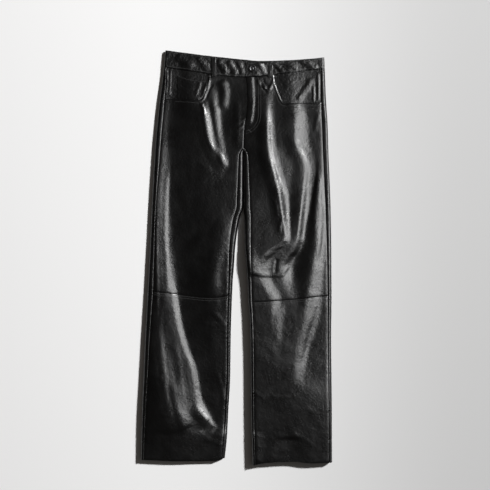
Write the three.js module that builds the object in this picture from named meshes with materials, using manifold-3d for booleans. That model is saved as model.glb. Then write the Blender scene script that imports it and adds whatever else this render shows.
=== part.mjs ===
// Straight-legged leather trousers of the five-pocket cut, laid flat on their back on a level surface.
// Millimetres. +Z is up, away from the surface; +Y runs towards the waist; +X is the wearer's left.
// The origin is the middle of the garment's footprint, on the surface.
// Every panel is a wall of leather. The front panels lie over the back panels, which rest flat on the
// surface and wrap round both edges of each leg up to the side seam and the inseam.
import * as THREE from "three";
import { mergeVertices } from "three/addons/utils/BufferGeometryUtils.js";
import Module from "manifold-3d";

const wasm = await Module();
wasm.setup();

// Leather and seams
const WALL = 1.6; // leather with its backing
const BAND_WALL = 2.6; // waistband, two leathers with a stiffener
const FACING_WALL = 1.4; // leather behind a pocket opening
const COIN_WALL = 1.2;
const GAP = 0.3; // between pieces at a seam
const HEM_DEPTH = 38; // turned up inside each leg
const EDGE_RADIUS = 7; // how far the roll at a side edge reaches in
const BAND_RISE = 0.6; // the waistband's face over the panel's face
const SMALLEST_FLANK = 17; // a fold's flank is at least this wide in these walls

// Lines across the garment
const WAIST_Y = 462; // waist seam at the centre front
const YOKE_Y = 400; // below this row the seam's slope no longer shows
const CROTCH_Y = 279; // where the two inseams meet at the front
const FORK_END_Y = 262; // the inner edges are fully rounded below this row
const KNEE_Y = -100;
const HEM_Y = -520;
const CENTRE_BACK_X = 17.85;

// The fly
const FLY_UNDERLAP = 10; // the right front runs on under the left one
const FLY_LIFTED = 12; // the left front lies over it this far
const FLY_BLEND = 10; // and comes down again over this width
const FLY_LAP_END_Y = 362; // the underlap narrows from here
const FLY_STOP_Y = 350;
const FLY_FLAT_Y = 335; // below this the two fronts lie level

// Edges, seams and the height at each edge of the garment at each section, from the waist to the hems
const SECTION_COLUMNS = [
  "y", "rightOut", "rightInset", "rightIn", "leftIn", "leftInset", "leftOut",
  "rightOutLoft", "rightInLoft", "leftInLoft", "leftOutLoft",
];
const SECTIONS = [
  [531, -182.1, 4, 17.6, 18.1, 9.5, 224.8, 12, 12, 12, 12],
  [460, -189.3, 9.1, 17.6, 18.1, 11, 227.3, 12, 12, 12, 12],
  [400, -197.4, 13, 17.6, 18.1, 13.5, 230, 12.3, 12.3, 12.3, 11],
  [340, -203.8, 14.4, 17.6, 18.1, 14.9, 233.9, 12.6, 12.6, 12.6, 10],
  [280, -208.7, 14.3, 17.6, 18.1, 14.4, 235.7, 13, 13, 13, 9.5],
  [134, -217, 11.4, 17.6, 18.1, 12.9, 241.4, 14, 17, 20, 9],
  [100, -218.5, 11, 8.2, 20.5, 12.6, 242.2, 14.3, 17.5, 22, 9],
  [20, -222, 11.8, -3.5, 21.5, 11, 243.3, 15, 17.5, 25.5, 10],
  [-12, -223.8, 12.6, -5.5, 24, 10.8, 243.5, 15.1, 17.2, 29.3, 10.3],
  [-50, -225.7, 13.4, -8.5, 27, 10.5, 243.7, 15.3, 16.6, 26, 10.8],
  [-90, -227.8, 14.3, -11, 29.5, 10.2, 244, 15.5, 15.5, 24.5, 11],
  [-210, -234.4, 12.4, -14.5, 35, 9, 242.8, 16.3, 11, 24.5, 13.5],
  [-310, -238.6, 11.5, -16, 36, 8.8, 243.8, 17.5, 9.3, 24, 18.5],
  [-390, -242.2, 10.7, -20.5, 36.5, 8.6, 244.5, 18.5, 8.8, 24, 22],
  [-430, -243.2, 10, -22.5, 37.2, 8.6, 244.6, 19, 8.8, 24, 23],
  [-465, -244, 9.4, -24.5, 38.5, 8.5, 244.7, 19, 13, 24, 23],
  [-531, -244.9, 8.5, -31, 40.5, 8.5, 244.9, 18.5, 15, 24, 23],
];

// Lines drawn across or down the garment, as points that a smooth curve goes through
const WAIST_SEAM = [
  [-195, 488], [-160, 483.5], [-86, 472.3], [-48, 466], [22, 462], [80, 466.4], [167, 476.7], [232, 486],
];
const FRONT_TOP = [[-190, 531], [-85, 517], [24, 501.5], [60, 497.5], [98, 493.5], [160, 503], [228, 513]];
const BACK_TOP = [[-190, 531], [-85, 519], [24, 507.5], [60, 504.5], [124, 506], [228, 513]];
const RIGHT_KNEE = [[-235, -85], [-213, -87], [-55, -102.4], [-16, -96]];
const LEFT_KNEE = [[30, -114], [111, -109.6], [219, -99.3], [245, -98]];
const RIGHT_HEM = [[-246, -517], [-134, -521], [-55, -521], [-33, -513.3]];
const LEFT_HEM = [[38, -531.2], [78, -524], [147, -521], [193, -525.3], [245, -522.8]];
const CENTRE_FRONT = [
  [279, 18], [300, 18.4], [339, 20.7], [365, 25.8], [403, 28.3], [462, 25.3], [505, 23.2],
];
const INSEAM_INSET = [
  [-531, 8.5], [-90, 10], [20, 15], [134, 16.5], [200, 14], [262, 11], [270, 8], [276, 4], [279, 2],
];
const BACK_SEAM_RISE = [[279, 10.7], [281.5, 9.6], [285, 8], [293, 4], [305, 0], [330, 0]];

// Long rolls and hollows down each leg, in order across it. Each row: y, x, height over the surface.
const RIGHT_ROLLS = [
  [[470, -180, 12], [390, -190, 12.8], [326, -196, 13.3], [237, -200, 14.5], [147, -203, 15.5],
   [45, -205, 16.5], [-58, -206, 17], [-160, -208, 18], [-237, -207, 20.5], [-314, -200, 23.5],
   [-365, -190, 25], [-416, -178, 26.5], [-436, -176, 25], [-455, -176, 21.5], [-520, -178, 19]],
  [[470, -150, 12], [390, -165, 11], [326, -172, 11.2], [237, -168, 10], [147, -168, 9.5], [45, -160, 9.5],
   [-58, -146, 8.5], [-160, -132, 8.6], [-237, -112, 8.3], [-314, -84, 8.2], [-365, -74, 8.2],
   [-416, -54, 8.2], [-436, -54, 9.7], [-455, -58, 13.5], [-520, -64, 15]],
  [[470, -115, 14], [390, -104, 16], [326, -96, 16.5], [237, -72, 14.5], [147, -58, 16], [45, -50, 18],
   [-58, -54, 17.5], [-160, -54, 13.8], [-237, -54, 10], [-314, -48, 8.8], [-365, -50, 8.6],
   [-416, -41, 8.6], [-436, -41, 9.9], [-455, -43, 13.5], [-520, -50, 15]],
  [[470, -20, 12.5], [390, -27, 9.5], [326, -37, 9.8], [237, -32, 12.5], [147, -20, 16.5], [45, -25, 18],
   [-58, -32, 16.8], [-160, -34, 13.2], [-237, -34, 9.8], [-314, -34, 8.8], [-365, -35, 8.7],
   [-416, -31, 8.7], [-436, -31, 9.9], [-455, -33, 13.3], [-520, -40, 15]],
];
const LEFT_ROLLS = [
  [[470, 70, 13], [390, 74, 15], [352, 76, 16.5], [300, 78, 18], [237, 86, 20], [147, 108, 20.5],
   [60, 121, 22.5], [45, 118, 23.5], [30, 96, 24.5], [15, 76, 26], [0, 62, 27], [-25, 54, 26.5],
   [-45, 54, 25], [-70, 64, 24], [-110, 84, 23.5], [-160, 88, 23.5], [-237, 92, 23.5], [-350, 96, 23.5],
   [-520, 96, 23.5]],
  [[470, 100, 12], [390, 100, 13], [352, 101, 13.5], [300, 104, 14.5], [237, 116, 15], [147, 138, 13.5],
   [60, 141, 18], [45, 139, 19], [30, 124, 20.5], [15, 104, 20.5], [0, 94, 20], [-25, 90, 19.5],
   [-45, 92, 18.5], [-70, 100, 18], [-110, 118, 18], [-160, 118, 20], [-237, 112, 22.5],
   [-350, 112, 23.5], [-520, 115, 23.5]],
  [[470, 135, 14], [390, 141, 14.5], [352, 145, 15], [300, 146, 15], [272, 155, 13], [237, 170, 11.5],
   [147, 165, 13.5], [60, 155, 17.5], [45, 153, 18], [30, 149, 18], [15, 141, 18], [0, 126, 18.5],
   [-25, 112, 18.5], [-45, 110, 18], [-70, 116, 17.3], [-110, 136, 17.5], [-160, 132, 19.7],
   [-237, 124, 22.3], [-350, 122, 23.5], [-520, 130, 23.5]],
  [[470, 180, 12], [390, 180, 10.5], [352, 186, 8.5], [300, 190, 8.4], [237, 203, 8.3], [147, 192, 9.2],
   [60, 177, 12.5], [45, 176, 13], [30, 170, 12.5], [15, 162, 12], [0, 152, 11], [-25, 147, 10.5],
   [-45, 148, 11.5], [-70, 150, 14], [-110, 156, 17], [-160, 150, 19.7], [-237, 136, 22],
   [-350, 132, 23.5], [-520, 145, 23.6]],
  [[470, 200, 12], [390, 202, 10.5], [352, 205, 9], [300, 206, 8.5], [237, 212, 9], [147, 203, 12.5],
   [60, 201, 15], [45, 200, 15.2], [19, 198, 15.5], [0, 195, 15.8], [-32, 191, 16], [-58, 186, 16.5],
   [-110, 176, 18], [-160, 168, 19.5], [-237, 150, 21.5], [-350, 142, 23.4], [-520, 160, 23.7]],
  [[470, 214, 12], [390, 218, 10.5], [352, 222, 9.2], [300, 224, 8.8], [237, 228, 8.4], [147, 230, 8.6],
   [60, 230, 9.4], [45, 230, 9.6], [19, 230, 10], [0, 229, 10.2], [-32, 228, 10.4], [-58, 226, 10.6],
   [-110, 224, 11], [-160, 214, 11.5], [-237, 190, 14], [-300, 178, 19], [-350, 172, 23],
   [-520, 200, 23.4]],
];

// The sharper folds on those rolls. Each is a ridge along a path, or a trough where rise is below zero.
// left is the width of its flank on the wearer's left of a downward path, and right that of the other one.
const FOLDS = [
  {
    of: "right thigh, from the pocket",
    path: [[-85, 405], [-75, 340], [-62, 285], [-42, 250], [-26, 222]],
    rise: 3, left: 17, right: 30,
  },
  {
    of: "right thigh, from the loop",
    path: [[-65, 440], [-55, 375], [-47, 310], [-38, 262], [-24, 230]],
    rise: 2.2, left: 17, right: 17,
  },
  {
    of: "right front, beside the fly",
    path: [[-40, 455], [-30, 425], [-36, 375]],
    rise: 2.4, left: 18, right: 18,
  },
  {
    of: "right inner thigh",
    path: [[-24, 140], [-40, 45], [-56, -20], [-68, -110]],
    rise: 1.8, left: 26, right: 40,
  },
  {
    of: "right shin",
    path: [
      [-178, 30], [-175, -58], [-165, -109], [-157, -160], [-141, -224],
      [-118, -288], [-104, -365], [-80, -412], [-72, -422], [-62, -432],
    ],
    rise: 3, left: 20, right: 45,
  },
  {
    of: "left thigh, from the loop",
    path: [[74, 420], [76, 350], [79, 275], [88, 228], [105, 172], [113, 116], [126, 40]],
    rise: 3, left: 17, right: 30,
  },
  {
    of: "left thigh, from the pocket",
    path: [
      [146, 384], [145, 315], [152, 284], [163, 262], [171, 240], [173, 215], [169, 180], [160, 110],
      [154, 52], [142, 4],
    ],
    rise: 2.2, left: 17, right: 34,
  },
  { of: "left hem, inner wave", path: [[46, -440], [44, -528]], rise: 1.5, left: 30, right: 20 },
  { of: "left hem, middle dip", path: [[140, -455], [140, -528]], rise: -2, left: 55, right: 55 },
];

const lerp = (a, b, t) => a + (b - a) * t;
const clamp01 = (t) => Math.min(1, Math.max(0, t));
const smooth = (t) => clamp01(t) ** 2 * (3 - 2 * clamp01(t));

// A curve through points [t, value], t rising, that never swings past a point's value.
function curve(points) {
  const secants = points.slice(1).map((p, i) => (p[1] - points[i][1]) / (p[0] - points[i][0]));
  const tangents = points.map((_, i) => {
    const before = secants[Math.max(0, i - 1)];
    const after = secants[Math.min(secants.length - 1, i)];
    return before * after <= 0 ? 0 : (2 * before * after) / (before + after);
  });
  return (t) => {
    if (t <= points[0][0]) return points[0][1];
    const i = points.findIndex((p) => p[0] >= t);
    if (i < 0) return points[points.length - 1][1];
    const span = points[i][0] - points[i - 1][0];
    const s = (t - points[i - 1][0]) / span;
    const bump = s * (1 - s) * span;
    const rise = tangents[i - 1] * (1 - s) - tangents[i] * s;
    return lerp(points[i - 1][1], points[i][1], s * s * (3 - 2 * s)) + bump * rise;
  };
}

// A column of a table whose rows run down the garment, as a curve over y.
const column = (rows, index) => curve(rows.map((row) => [row[0], row[index]]).reverse());
const at = Object.fromEntries(SECTION_COLUMNS.map((name, index) => [name, column(SECTIONS, index)]));
const waistSeam = curve(WAIST_SEAM);
const frontTop = curve(FRONT_TOP);
const backTop = curve(BACK_TOP);
const centreFront = curve(CENTRE_FRONT);
const inseamInset = curve(INSEAM_INSET);
const backSeamRise = curve(BACK_SEAM_RISE);

// One leg's named lines. side is -1 for the wearer's right leg and 1 for the left one.
const LEGS = {
  right: {
    side: -1,
    out: at.rightOut,
    inset: at.rightInset,
    inner: at.rightIn,
    outerLoft: at.rightOutLoft,
    innerLoft: at.rightInLoft,
    knee: curve(RIGHT_KNEE),
    hem: curve(RIGHT_HEM),
  },
  left: {
    side: 1,
    out: at.leftOut,
    inset: at.leftInset,
    inner: at.leftIn,
    outerLoft: at.leftOutLoft,
    innerLoft: at.leftInLoft,
    knee: curve(LEFT_KNEE),
    hem: curve(LEFT_HEM),
  },
};
const sideSeam = (leg, y) => leg.out(y) - leg.side * leg.inset(y);
const inseam = (leg, y) => leg.inner(y) + leg.side * inseamInset(y);

// How high a fold stands at a point: a rounded ridge across its path, faded at both ends.
function foldHeight(fold, x, y) {
  const last = fold.path.length - 1;
  let nearest = { distance: Infinity };
  for (let i = 0; i < last; i++) {
    const [ax, ay] = fold.path[i];
    const [bx, by] = fold.path[i + 1];
    const length = Math.hypot(bx - ax, by - ay);
    const share = clamp01(((x - ax) * (bx - ax) + (y - ay) * (by - ay)) / length ** 2);
    const dx = x - lerp(ax, bx, share);
    const dy = y - lerp(ay, by, share);
    const distance = Math.hypot(dx, dy);
    if (distance < nearest.distance) {
      const side = dx * (ay - by) + dy * (bx - ax);
      nearest = { distance, along: (i + share) / last, side };
    }
  }
  const width = Math.max(SMALLEST_FLANK, nearest.side >= 0 ? fold.left : fold.right);
  if (nearest.distance >= width) return 0;
  const ends = smooth(nearest.along / 0.22) * smooth((1 - nearest.along) / 0.22);
  return (fold.rise * ends * (1 + Math.cos((Math.PI * nearest.distance) / width))) / 2;
}

// Height of a curve across each leg, through its rolls, from the height at one edge to the other's.
const rollLines = (table) => table.map((rows) => ({ x: column(rows, 1), height: column(rows, 2) }));
const ROLLS = { right: rollLines(RIGHT_ROLLS), left: rollLines(LEFT_ROLLS) };

function rollHeight(x, y) {
  const right = x < CENTRE_BACK_X;
  const lines = right ? ROLLS.right : ROLLS.left;
  const start = right
    ? [at.rightOut(y), at.rightOutLoft(y)]
    : [Math.max(CENTRE_BACK_X, at.leftIn(y)), at.leftInLoft(y)];
  const end = right
    ? [Math.min(CENTRE_BACK_X, at.rightIn(y)), at.rightInLoft(y)]
    : [at.leftOut(y), at.leftOutLoft(y)];
  return curve([start, ...lines.map((line) => [line.x(y), line.height(y)]), end])(x);
}

const roll = (d) => (d >= EDGE_RADIUS ? 1 : Math.sqrt(1 - (1 - Math.max(0, d) / EDGE_RADIUS) ** 2));

// Height of the garment's upper face over the surface.
function topFace(x, y) {
  const height = rollHeight(x, y);
  const folds = FOLDS.reduce((sum, fold) => sum + foldHeight(fold, x, y), 0);
  const outer = roll(Math.min(x - at.rightOut(y), at.leftOut(y) - x));
  const between = x < CENTRE_BACK_X ? at.rightIn(y) - x : x - at.leftIn(y);
  const inner = lerp(1, roll(between), smooth((CROTCH_Y - y) / (CROTCH_Y - FORK_END_Y)));
  return height / 2 + (height / 2 + folds) * outer * inner;
}

// A closed wall between two grids of points with the same rows and columns.
function wall(outer, inner) {
  const rows = outer.length;
  const cols = outer[0].length;
  const points = [...outer.flat(), ...inner.flat()];
  const id = (face, i, j) => face * rows * cols + i * cols + j;
  const index = [];
  const quad = (a, b, c, d) => index.push(a, b, c, a, c, d);
  for (let i = 0; i < rows - 1; i++) {
    for (let j = 0; j < cols - 1; j++) {
      quad(id(0, i, j), id(0, i + 1, j), id(0, i + 1, j + 1), id(0, i, j + 1));
      quad(id(1, i, j), id(1, i, j + 1), id(1, i + 1, j + 1), id(1, i + 1, j));
    }
    quad(id(0, i, 0), id(1, i, 0), id(1, i + 1, 0), id(0, i + 1, 0));
    quad(id(0, i, cols - 1), id(0, i + 1, cols - 1), id(1, i + 1, cols - 1), id(1, i, cols - 1));
  }
  for (let j = 0; j < cols - 1; j++) {
    quad(id(0, 0, j), id(0, 0, j + 1), id(1, 0, j + 1), id(1, 0, j));
    quad(id(0, rows - 1, j), id(1, rows - 1, j), id(1, rows - 1, j + 1), id(0, rows - 1, j + 1));
  }
  const solid = new THREE.BufferGeometry().setFromPoints(points);
  solid.setIndex(index);
  return facingOut(solid);
}

// Turns a closed geometry's faces outwards.
function facingOut(geometry) {
  const index = geometry.index.array;
  const position = geometry.attributes.position;
  const corner = [0, 1, 2].map(() => new THREE.Vector3());
  let volume = 0;
  for (let i = 0; i < index.length; i += 3) {
    corner.forEach((c, k) => c.fromBufferAttribute(position, index[i + k]));
    volume += corner[0].dot(corner[1].clone().cross(corner[2]));
  }
  if (volume < 0) geometry.setIndex([...index].reverse());
  return geometry;
}

// Rows of a panel from its upper line to its lower line: evenly spaced, and the extra rows that it needs.
function rowsBetween(top, bottom, step, extra = []) {
  const count = Math.max(1, Math.round((top - bottom) / step));
  const even = Array.from({ length: count + 1 }, (_, i) => lerp(top, bottom, i / count));
  const isClear = (y) => y === top || y === bottom || extra.every((e) => Math.abs(e - y) > step * 0.35);
  return [...even.filter(isClear), ...extra].sort((a, b) => b - a);
}

const CROTCH_ROWS = [305, 293, 285, 281.5, CROTCH_Y, 276, 270, FORK_END_Y];
const FLY_ROWS = [FLY_LAP_END_Y, FLY_STOP_Y, FLY_FLAT_Y];
const UPPER_ROWS = rowsBetween(WAIST_Y, KNEE_Y, 25, [YOKE_Y, ...FLY_ROWS, ...CROTCH_ROWS]);
const LOWER_ROWS = rowsBetween(KNEE_Y, HEM_Y, 26, [HEM_Y + HEM_DEPTH]);
const KNEE_REACH = 45;
const HEM_REACH = 60;

// Moves a row up or down so that the first and last rows lie on the panel's seams.
function rowY(leg, row, x) {
  const waist = (waistSeam(x) - GAP - WAIST_Y) * smooth((row - YOKE_Y) / (WAIST_Y - YOKE_Y));
  const knee = (leg.knee(x) - KNEE_Y) * smooth(1 - Math.abs(row - KNEE_Y) / KNEE_REACH);
  const hem = (leg.hem(x) - HEM_Y) * smooth(1 - (row - HEM_Y) / HEM_REACH);
  return row + waist + knee + hem;
}

// A point of a row whose x is a function of y, settled in a few passes.
function onRow(leg, row, xOf) {
  let y = row;
  for (let pass = 0; pass < 4; pass++) y = rowY(leg, row, xOf(y));
  return [xOf(y), y];
}

// Keeps the upper panel's last row and the lower panel's first row half a gap from the knee seam.
function kneeGap(row, lower) {
  return row === KNEE_Y ? ((lower ? -1 : 1) * GAP) / 2 : 0;
}

// Shares across a front panel, from the side seam to the centre, closer beside the fly.
const FRONT_COLUMNS = Array.from({ length: 14 }, (_, i) => i / 13);

function frontEdge(leg, y) {
  if (y < CROTCH_Y + 0.01) return inseam(leg, y) + (leg.side * GAP) / 2;
  if (leg.side > 0) return centreFront(y) + GAP / 2;
  const lapped = clamp01((y - FLY_STOP_Y) / (FLY_LAP_END_Y - FLY_STOP_Y));
  return centreFront(y) - GAP / 2 + (FLY_UNDERLAP + GAP) * lapped;
}

// The left front rides up over the right front's underlap beside the fly.
function flyLift(leg, x, y) {
  if (leg.side < 0) return 0;
  const along = clamp01((y - FLY_FLAT_Y) / (FLY_STOP_Y - FLY_FLAT_Y));
  const across = 1 - smooth((x - centreFront(y) - FLY_LIFTED) / FLY_BLEND);
  return (WALL + GAP) * along * across;
}

// Points of a front panel at a depth below its upper face.
function frontGrid(leg, rows, columns, depth, lower) {
  return rows.map((row) =>
    columns.map((share) => {
      const xOf = (y) => lerp(sideSeam(leg, y) - (leg.side * GAP) / 2, frontEdge(leg, y), share);
      const [x, y] = onRow(leg, row, xOf);
      return new THREE.Vector3(x, y + kneeGap(row, lower), topFace(x, y) + flyLift(leg, x, y) - depth(row));
    }),
  );
}

// Columns of the left front: two close to the fly edge, the rest even.
function frontColumns(leg) {
  if (leg.side < 0) return FRONT_COLUMNS;
  const near = [FLY_LIFTED + FLY_BLEND + 1, FLY_LIFTED - 1].map((d) => 1 - d / 190);
  return [...FRONT_COLUMNS.filter((share) => share < near[0] - 0.03), ...near, 1];
}

const hemDepth = (row) => (row <= HEM_Y + HEM_DEPTH ? 2 : 1);
const front = (leg, rows, lower) =>
  wall(
    frontGrid(leg, rows, frontColumns(leg), () => 0, lower),
    frontGrid(leg, rows, frontColumns(leg), (row) => WALL * hemDepth(row), lower),
  );

// Steps round a quarter turn, and shares of the way in from an edge to the seam on the upper face
const QUARTER = [0, 30, 60, 90].map(THREE.MathUtils.degToRad);
const OVER_EDGE = [1, 0.55, 0.2, 0.05];
const FLOOR_SHARES = [0.2, 0.4, 0.6, 0.8]; // where a back panel's points lie on the surface

// The lower half of the roll at an edge, from the edge down to the surface.
const underRoll = (edge, side, height) =>
  QUARTER.map((a) => [edge + side * EDGE_RADIUS * (1 - Math.cos(a)), (height / 2) * (1 - Math.sin(a))]);

// The upper half, from a seam on the upper face out to the edge.
const overRoll = (edge, side, inset, y) =>
  OVER_EDGE.map((share) => edge + side * inset * share).map((x) => [x, topFace(x, y)]);

// Below the crotch a back panel wraps round the leg's inner edge. Above it the panel ends at the centre
// back seam, which lies on the surface and climbs to the crotch as an upright wall.
function innerPart(leg, y) {
  const { side } = leg;
  if (y < CROTCH_Y) {
    const edge = leg.inner(y);
    const over = overRoll(edge, side, inseamInset(y) - GAP / 2, y);
    return [...over, ...underRoll(edge, side, leg.innerLoft(y))];
  }
  const edge = CENTRE_BACK_X + (side * GAP) / 2;
  const height = backSeamRise(y);
  const upright = OVER_EDGE.map((share) => [edge, (height / 2) * (1 + share)]);
  const risen = [...upright, ...underRoll(edge, side, height)];
  const flat = (i) => edge + (side * EDGE_RADIUS * i) / (risen.length - 1);
  return risen.map(([x, z], i) => [lerp(flat(i), x, clamp01(height / 8)), z]);
}

// A back panel's section, as [x, z] from its inner end round to the side seam.
function backSection(leg, y) {
  const { side } = leg;
  const inner = innerPart(leg, y);
  const outer = leg.out(y);
  const from = inner[inner.length - 1][0];
  const floor = FLOOR_SHARES.map((share) => [lerp(from, outer - side * EDGE_RADIUS, share), 0]);
  const under = underRoll(outer, -side, leg.outerLoft(y)).reverse();
  const over = overRoll(outer, -side, leg.inset(y) - GAP / 2, y).reverse();
  return [...inner, ...floor, ...under, ...over];
}

// Moves a section's line inwards by the wall's thickness. An end on the upper face is cut upright.
function inset(line, side, thickness, uprightStart) {
  return line.map(([x, z], i) => {
    const [ax, az] = line[Math.max(0, i - 1)];
    const [bx, bz] = line[Math.min(line.length - 1, i + 1)];
    const length = Math.hypot(bx - ax, bz - az);
    if (i === line.length - 1 || (i === 0 && uprightStart)) return [x, z - thickness];
    return [x - (side * thickness * (bz - az)) / length, z + (side * thickness * (bx - ax)) / length];
  });
}

function backGrid(leg, rows, lower, thickness) {
  return rows.map((row) => {
    const side = sideSeam(leg, row);
    const own = rowY(leg, row, side);
    const line = backSection(leg, own);
    const shown = thickness ? inset(line, leg.side, thickness * hemDepth(row), own < CROTCH_Y) : line;
    return shown.map(([x, z], i) => {
      const y = i === line.length - 1 ? own : rowY(leg, row, line[i][0]);
      return new THREE.Vector3(x, y + kneeGap(row, lower), z);
    });
  });
}

const back = (leg, rows, lower) => wall(backGrid(leg, rows, lower, 0), backGrid(leg, rows, lower, WALL));

// Solids for cutting
function solidOf(geometry) {
  const bare = geometry.clone();
  bare.deleteAttribute("normal");
  bare.deleteAttribute("uv");
  const merged = mergeVertices(bare, 1e-4);
  return new wasm.Manifold(
    new wasm.Mesh({
      numProp: 3,
      vertProperties: new Float32Array(merged.attributes.position.array),
      triVerts: new Uint32Array(merged.index.array),
    }),
  );
}

function geometryOf(solid) {
  const mesh = solid.getMesh();
  const geometry = new THREE.BufferGeometry();
  geometry.setAttribute("position", new THREE.BufferAttribute(new Float32Array(mesh.vertProperties), 3));
  geometry.setIndex(new THREE.BufferAttribute(new Uint32Array(mesh.triVerts), 1));
  return geometry;
}

// An upright prism on an outline in plan.
function prism(outline) {
  const shape = new THREE.Shape(outline.map(([x, y]) => new THREE.Vector2(x, y)));
  const geometry = new THREE.ExtrudeGeometry(shape, { depth: 60, bevelEnabled: false });
  return solidOf(geometry.translate(0, 0, -10));
}

// Pocket openings: down from the waist seam and across to the side seam
const RIGHT_OPENING = [
  [-71.5, 470], [-73, 450], [-76.5, 431], [-83, 415], [-88.5, 405.5], [-95, 402], [-125, 404.5],
  [-156, 406.5], [-205, 406],
];
const LEFT_OPENING = [
  [95, 472], [99, 445], [106.5, 424], [114, 406], [119, 397.5], [127, 394.5], [170, 396], [245, 397.5],
];
const FACING_LAP = 14; // the facing runs on under the front panel
const ABOVE_WAIST = 520;

function pocketArea(opening, side, grow) {
  const moved = opening.map(([x, y], i) => {
    const [ax, ay] = opening[Math.max(0, i - 1)];
    const [bx, by] = opening[Math.min(opening.length - 1, i + 1)];
    const length = Math.hypot(bx - ax, by - ay);
    return [x + (side * grow * (by - ay)) / length, y - (side * grow * (bx - ax)) / length];
  });
  const first = moved[0];
  const last = moved[moved.length - 1];
  const past = last[0] + side * 20;
  return [[first[0], ABOVE_WAIST], ...moved, [past, last[1]], [past, ABOVE_WAIST]];
}

const POCKET_ROWS = UPPER_ROWS.filter((row) => row > FLY_STOP_Y);
const layer = (leg, top, thickness) =>
  solidOf(
    wall(
      frontGrid(leg, POCKET_ROWS, frontColumns(leg), () => top, false),
      frontGrid(leg, POCKET_ROWS, frontColumns(leg), () => top + thickness, false),
    ),
  );

function pocketFacing(leg, opening) {
  const area = prism(pocketArea(opening, leg.side, FACING_LAP));
  return geometryOf(layer(leg, WALL + GAP, FACING_WALL).intersect(area));
}

function openedFront(leg, opening) {
  const area = prism(pocketArea(opening, leg.side, 0));
  return geometryOf(solidOf(front(leg, UPPER_ROWS, false)).subtract(area));
}

// The coin pocket lies on the right facing, inside the opening.
const COIN_TOP = [[-152, 470], [-132, 461], [-110, 456], [-60, 452]];
const COIN_LOW = 395;

function coinPocket(leg) {
  const outline = [...COIN_TOP, [COIN_TOP[3][0], COIN_LOW], [COIN_TOP[0][0], COIN_LOW]];
  const inside = prism(pocketArea(RIGHT_OPENING, leg.side, -GAP));
  return geometryOf(layer(leg, WALL - COIN_WALL, COIN_WALL).intersect(prism(outline)).intersect(inside));
}

// The waistband: one strip from the button's side, round the back, to the end under the button.
const BAND_LAP = 30; // the end under the button
const BAND_BLEND = 18; // the upper end comes down over this width
const BAND_STEPS = 12;
const BAND_Y = 482; // halfway up it
const BAND_ROWS = [0, 0.08, 0.5, 0.92, 1];

function bandLine() {
  const y = BAND_Y;
  const edgeX = centreFront(y);
  const across = (from, to) => Array.from({ length: BAND_STEPS }, (_, i) => lerp(from, to, i / BAND_STEPS));
  const lap = BAND_WALL + GAP;
  const upper = (x, lift) => ({ x, z: topFace(x, y) + BAND_RISE + lift, back: false });
  const leftEnd = at.leftOut(y) - EDGE_RADIUS;
  const rightEnd = at.rightOut(y) + EDGE_RADIUS;
  const leftFront = [edgeX, edgeX + 10, edgeX + BAND_LAP, edgeX + BAND_LAP + BAND_BLEND]
    .map((x, i) => upper(x, i < 3 ? lap : 0))
    .concat(across(edgeX + BAND_LAP + BAND_BLEND + 12, leftEnd).map((x) => upper(x, 0)));
  const top = topFace(0, y) + BAND_RISE;
  const turn = (edge, side, degrees) => {
    const a = THREE.MathUtils.degToRad(degrees);
    const x = edge + side * EDGE_RADIUS * Math.cos(a);
    return { x, z: (top / 2) * (1 + Math.sin(a)), back: degrees < 0 };
  };
  const angles = [90, 60, 30, 0, -30, -60, -90];
  const leftTurn = angles.map((a) => turn(leftEnd, 1, a));
  const rightTurn = [...angles].reverse().map((a) => turn(rightEnd, -1, a));
  const centre = [EDGE_RADIUS, 0, -EDGE_RADIUS].map((d) => CENTRE_BACK_X + d);
  const leftFloor = FLOOR_SHARES.map((share) => lerp(leftEnd, centre[0], share));
  const rightFloor = FLOOR_SHARES.map((share) => lerp(centre[2], rightEnd, share));
  const under = [...leftFloor, ...centre, ...rightFloor].map((x) => ({ x, z: 0, back: true }));
  const rightX = [...across(rightEnd, edgeX).slice(1), edgeX, edgeX + BAND_LAP - 1];
  const rightFront = rightX.map((x) => upper(x, 0));
  return [...leftFront, ...leftTurn, ...under, ...rightTurn, ...rightFront];
}

// The strip leans with the garment's side edges.
function leaned(x, y) {
  const edge = x < CENTRE_BACK_X ? at.rightOut : at.leftOut;
  const share = (x - CENTRE_BACK_X) / (edge(BAND_Y) - CENTRE_BACK_X);
  return x + share * (edge(y) - edge(BAND_Y));
}

function waistband() {
  const line = bandLine();
  const flat = line.map(({ x, z }) => [x, z]);
  const inside = inset(flat, -1, BAND_WALL, true);
  const grid = (points) =>
    BAND_ROWS.map((share) =>
      points.map(([x, z], i) => {
        const top = line[i].back ? backTop(flat[i][0]) : frontTop(flat[i][0]);
        const y = lerp(waistSeam(flat[i][0]), top, share);
        return new THREE.Vector3(leaned(x, y), y, z);
      }),
    );
  return wall(grid(flat), grid(inside));
}

// A belt loop: a strip over the waistband, tacked at both ends
const LOOP = { width: 12, thickness: 1.6, over: 6, bow: 1.8 };

function bandFace(x, y) {
  return topFace(x, y) + BAND_RISE + (x < centreFront(BAND_Y) ? 0 : bandLapLift(x));
}

function bandLapLift(x) {
  const past = x - centreFront(BAND_Y) - BAND_LAP;
  return (BAND_WALL + GAP) * (1 - clamp01(past / BAND_BLEND));
}

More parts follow.
